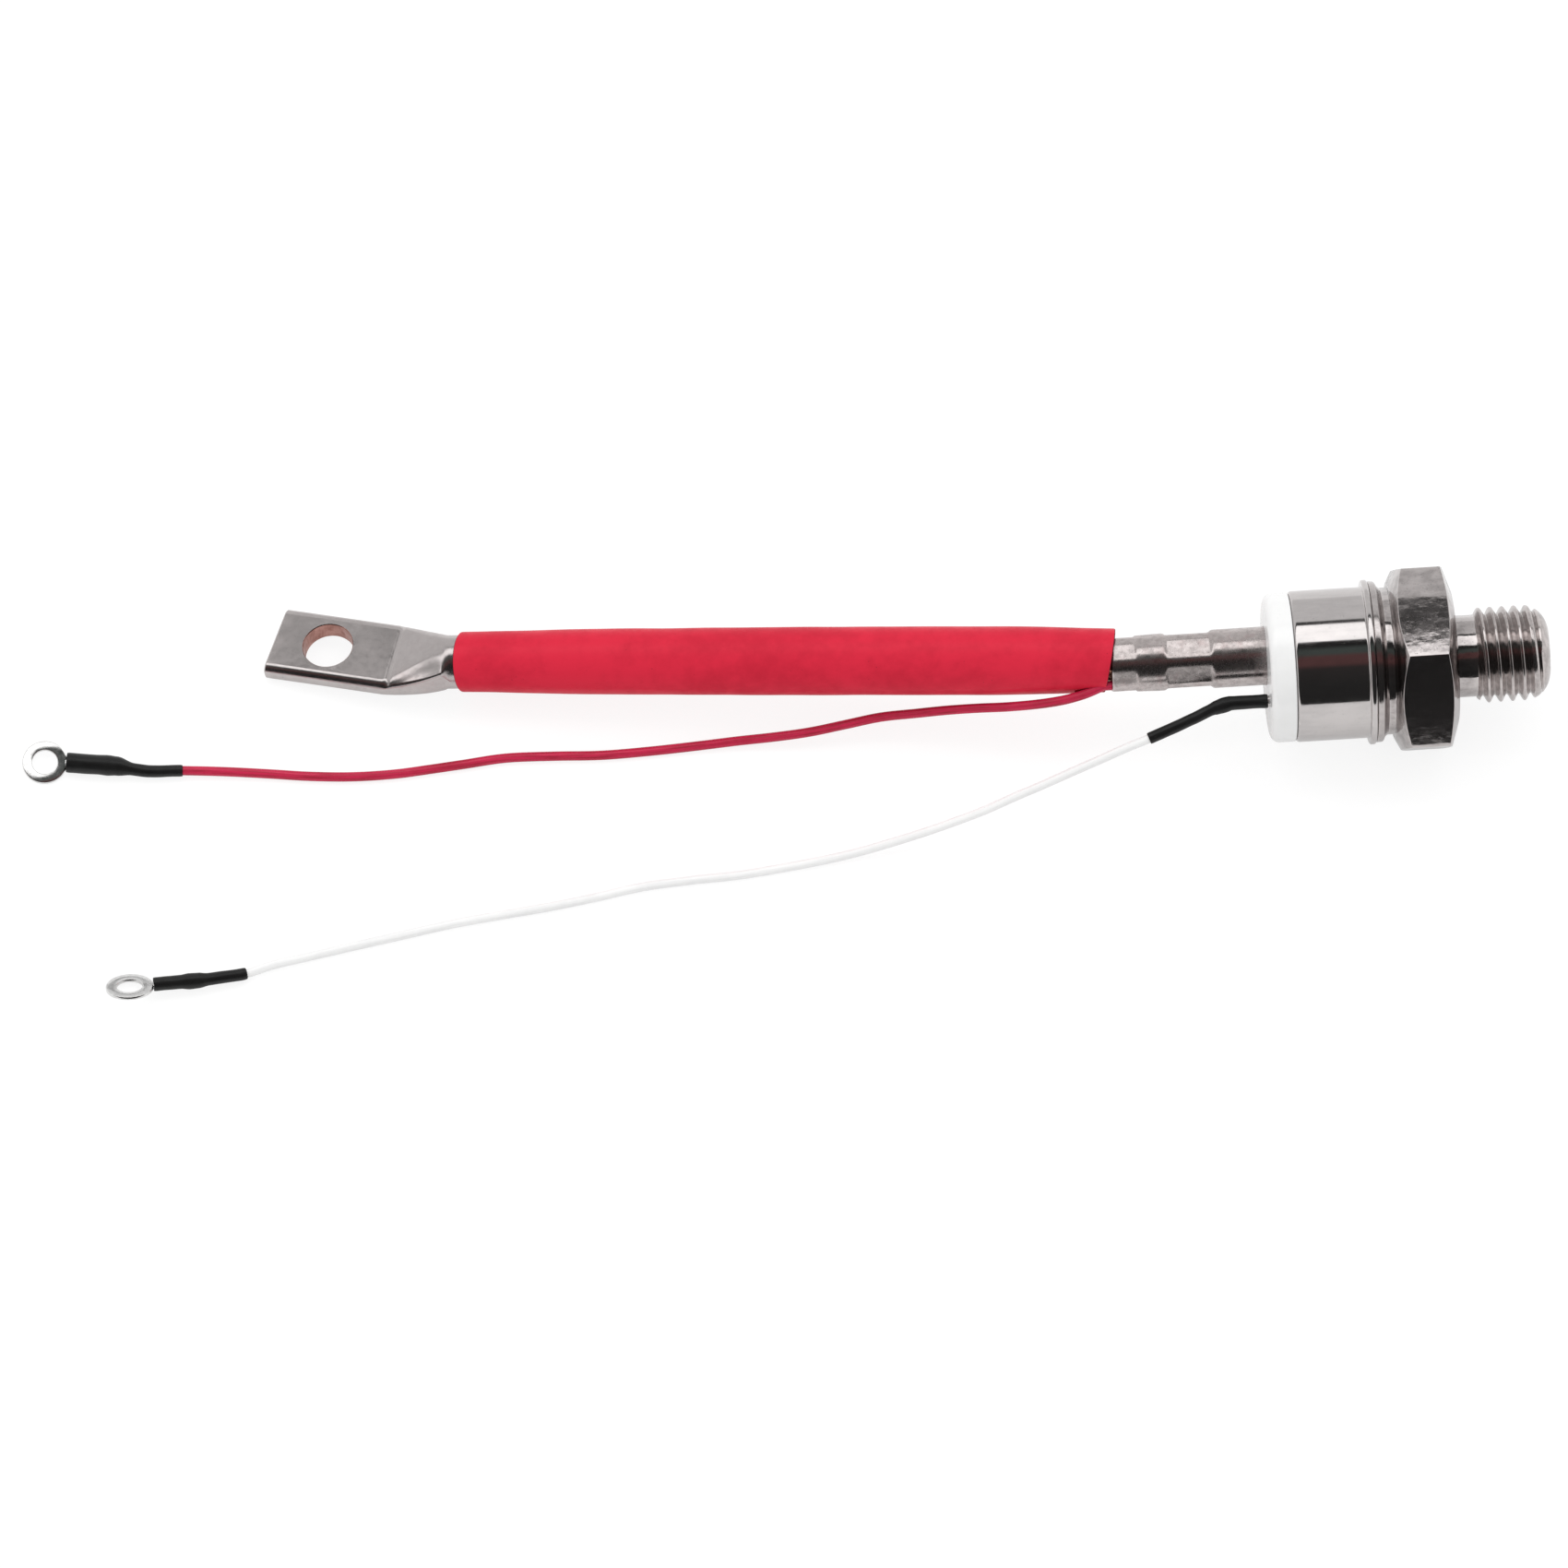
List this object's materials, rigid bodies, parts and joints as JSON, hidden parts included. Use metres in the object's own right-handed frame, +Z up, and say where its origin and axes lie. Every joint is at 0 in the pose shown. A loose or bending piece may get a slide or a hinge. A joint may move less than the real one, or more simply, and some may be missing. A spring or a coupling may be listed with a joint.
{
  "type": "stud thyristor",
  "caption": "Stud-mounted power thyristor with a hexagonal base, metal can, ceramic cap, sleeved power lead with a flat lug, and thin gate and auxiliary wires with rings.",
  "frame": {"origin": "on the table, under the middle of the plan outline of the rigid parts (all but the two signal wires)", "axes": "+X along the stud axis towards the tip of the stud, +Z up from the table, +Y away from the signal wires"},
  "size_m": [0.2559, 0.0753, 0.03],
  "materials": {
    "nickel_plate": "nickel plate over turned and milled copper, satin",
    "can_plate": "smooth nickel plate, mirror-like",
    "ceramic": "white glazed ceramic",
    "tin_plate": "tin plate over copper, satin",
    "copper": "bare stranded copper",
    "red_sleeve": "red heat-shrink sleeve, satin",
    "black_shrink": "black heat-shrink tube, satin",
    "white_wire": "white silicone insulation",
    "red_wire": "dark red insulation, satin",
    "molybdenum": "lapped molybdenum",
    "silicon": "polished silicon",
    "inner_plastic": "natural fluoropolymer",
    "spring_steel": "spring steel",
    "gold_contact": "gold-plated contact wire"
  },
  "bodies": {
    "root": {"stud_base": "nickel_plate", "weld_ring": "can_plate", "can_shell": "can_plate", "ceramic_cap": "ceramic", "cathode_tube": "tin_plate", "gate_pin": "tin_plate", "power_rope": "copper", "lead_sleeve": "red_sleeve", "cable_lug": "tin_plate", "gate_shrink": "black_shrink", "gate_wire": "white_wire", "gate_end_shrink": "black_shrink", "gate_terminal": "tin_plate", "aux_wire": "red_wire", "aux_end_shrink": "black_shrink", "aux_terminal": "tin_plate", "anode_disc": "molybdenum", "silicon_wafer": "silicon", "cathode_disc": "molybdenum", "cathode_post": "copper", "locating_ring": "inner_plastic", "insulating_bush": "inner_plastic", "pressure_washer": "spring_steel", "disc_spring_lower": "spring_steel", "disc_spring_middle": "spring_steel", "disc_spring_upper": "spring_steel", "clamp_cup": "spring_steel", "gate_bush": "inner_plastic", "gate_contact": "gold_contact", "gate_spring": "spring_steel", "gate_lead": "gold_contact", "inner_lead": "copper"}
  },
  "joints": []
}
